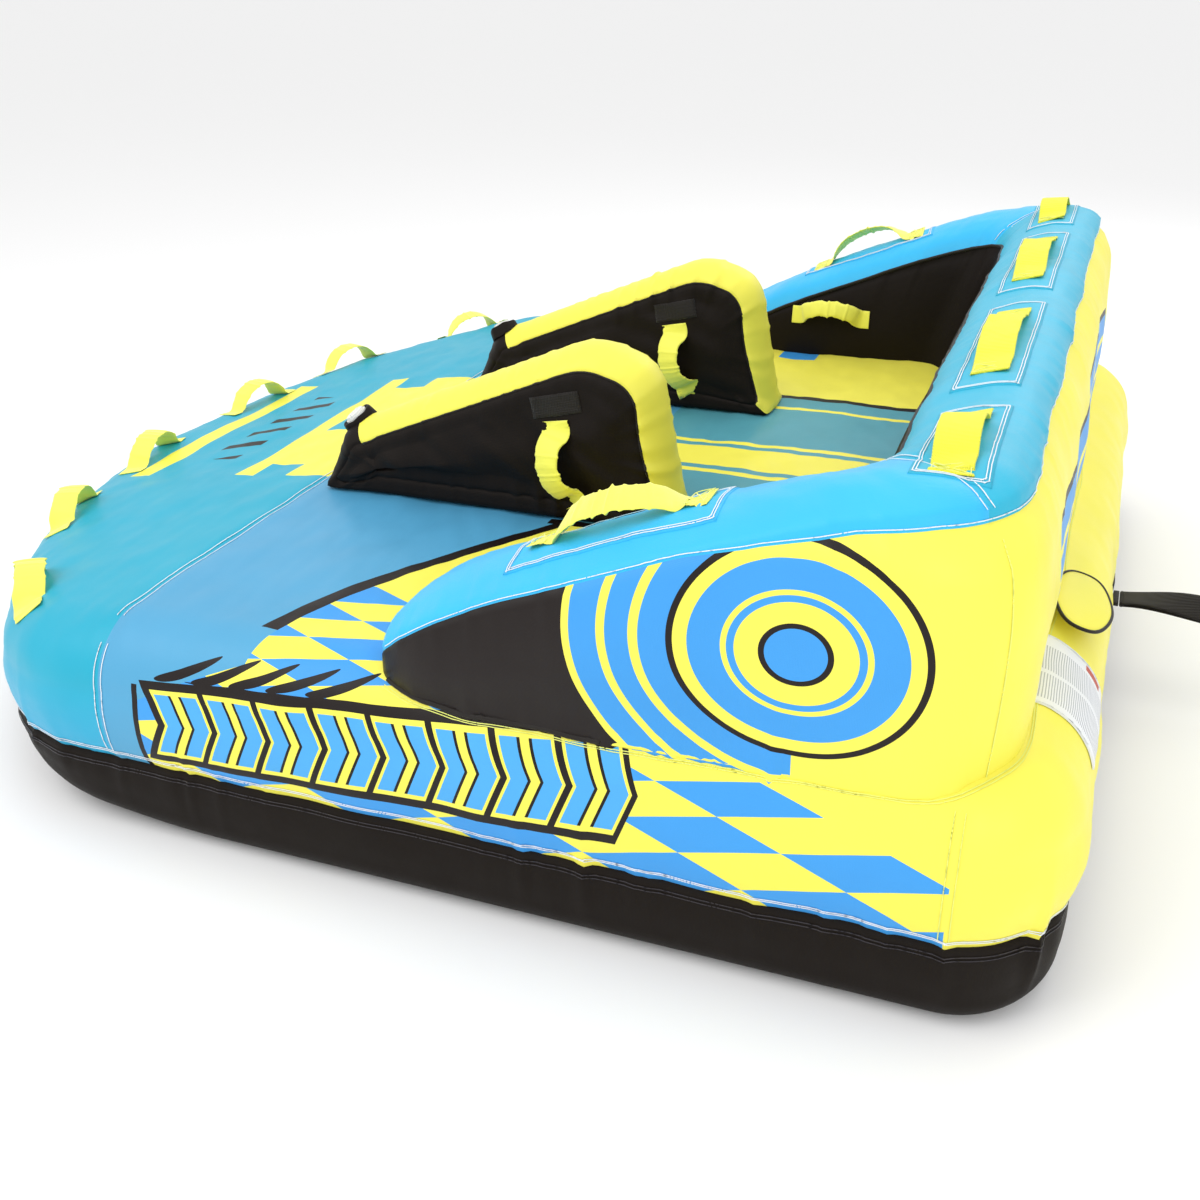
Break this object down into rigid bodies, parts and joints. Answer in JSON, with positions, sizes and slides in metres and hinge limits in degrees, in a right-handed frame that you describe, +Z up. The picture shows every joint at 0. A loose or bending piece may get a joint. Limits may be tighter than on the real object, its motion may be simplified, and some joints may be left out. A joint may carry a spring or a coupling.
{
  "type": "towable tube",
  "caption": "Inflatable towable tube with a rounded nose, raised backrest and arms, padded dividers between the seats, webbing handles, screw valves and a rear tow strap.",
  "frame": {"origin": "middle of the flat bottom, on the floor plane", "axes": "+Z up, -Y towards the rounded nose, +Y towards the backrest, X across the seats"},
  "size_m": [1.86, 2.1118, 0.692],
  "materials": {
    "black_nylon": "matte",
    "teal_nylon": "satin",
    "printed_nylon": "satin",
    "yellow_nylon": "satin",
    "blue_nylon": "satin",
    "black_neoprene": "matte",
    "black_webbing": "matte",
    "yellow_webbing": "matte",
    "white_plastic": "satin",
    "label": "matte",
    "pvc": "satin"
  },
  "bodies": {
    "tube": {"arm_handle_left": "yellow_webbing", "arm_handle_patches": "blue_nylon", "arm_handle_right": "yellow_webbing", "arm_inner_handle_left": "yellow_webbing", "arm_inner_handle_right": "yellow_webbing", "arm_inner_panel_left": "black_neoprene", "arm_inner_panel_right": "black_neoprene", "arm_outer_panel_left": "printed_nylon", "arm_outer_panel_right": "printed_nylon", "backrest_bladder": "pvc", "backrest_inner_panel": "black_neoprene", "backrest_outer_panel": "printed_nylon", "base_bladder": "pvc", "base_bottom_cover": "black_nylon", "base_valve_seat": "white_plastic", "care_label": "label", "deck_cover": "printed_nylon", "divider_band_left": "yellow_nylon", "divider_band_right": "yellow_nylon", "divider_bladder_left": "pvc", "divider_bladder_right": "pvc", "divider_handle_inner_left": "yellow_webbing", "divider_handle_inner_right": "yellow_webbing", "divider_handle_outer_left": "yellow_webbing", "divider_handle_outer_right": "yellow_webbing", "divider_inner_side_left": "black_neoprene", "divider_inner_side_right": "black_neoprene", "divider_outer_side_left": "black_neoprene", "divider_outer_side_right": "black_neoprene", "divider_patch_inner_left": "black_webbing", "divider_patch_inner_right": "black_webbing", "divider_patch_outer_left": "black_webbing", "divider_patch_outer_right": "black_webbing", "divider_valve_seat_left": "white_plastic", "divider_valve_seat_right": "white_plastic", "divider_valve_surround_left": "black_neoprene", "divider_valve_surround_right": "black_neoprene", "nose_cover": "teal_nylon", "nose_handle_inner_left": "yellow_webbing", "nose_handle_inner_right": "yellow_webbing", "nose_handle_middle_left": "yellow_webbing", "nose_handle_middle_right": "yellow_webbing", "nose_handle_outer_left": "yellow_webbing", "nose_handle_outer_right": "yellow_webbing", "rear_ledge_cover": "yellow_nylon", "rim_band_left": "blue_nylon", "rim_band_rear": "blue_nylon", "rim_band_right": "blue_nylon", "rim_loop_inner_left": "yellow_webbing", "rim_loop_inner_right": "yellow_webbing", "rim_loop_outer_left": "yellow_webbing", "rim_loop_outer_right": "yellow_webbing", "rim_patches": "blue_nylon", "tow_strap_anchor": "black_webbing"},
    "tow_strap": {"tow_strap": "black_webbing"},
    "valve_flap": {"valve_flap": "yellow_nylon"},
    "base_valve_cap": {"base_valve_cap": "white_plastic"},
    "divider_valve_cap_left": {"divider_valve_cap_left": "white_plastic"},
    "divider_valve_cap_right": {"divider_valve_cap_right": "white_plastic"}
  },
  "joints": [
    {"name": "tow_strap_swing", "type": "hinge", "parent": "tube", "child": "tow_strap", "pos_m": [0, 0.9618, 0.165], "axis": [1, 0, 0], "range_deg": [-75, 80]},
    {"name": "valve_flap_lift", "type": "hinge", "parent": "tube", "child": "valve_flap", "pos_m": [0.4, 0.85675, 0.3597], "axis": [1, 0, 0], "range_deg": [0, 95]},
    {"name": "base_valve_cap_turn", "type": "hinge", "parent": "tube", "child": "base_valve_cap", "pos_m": [0.4, 0.893, 0.331], "axis": [0, 0.3499, 0.9368], "range_deg": [0, 450]},
    {"name": "left_divider_valve_cap_turn", "type": "hinge", "parent": "tube", "child": "divider_valve_cap_left", "pos_m": [0.3, -0.308, 0.449], "axis": [0.2501, -0.5301, 0.8102], "range_deg": [0, 450]},
    {"name": "right_divider_valve_cap_turn", "type": "hinge", "parent": "tube", "child": "divider_valve_cap_right", "pos_m": [-0.3, -0.308, 0.449], "axis": [-0.2501, -0.5301, 0.8102], "range_deg": [0, 450]}
  ]
}
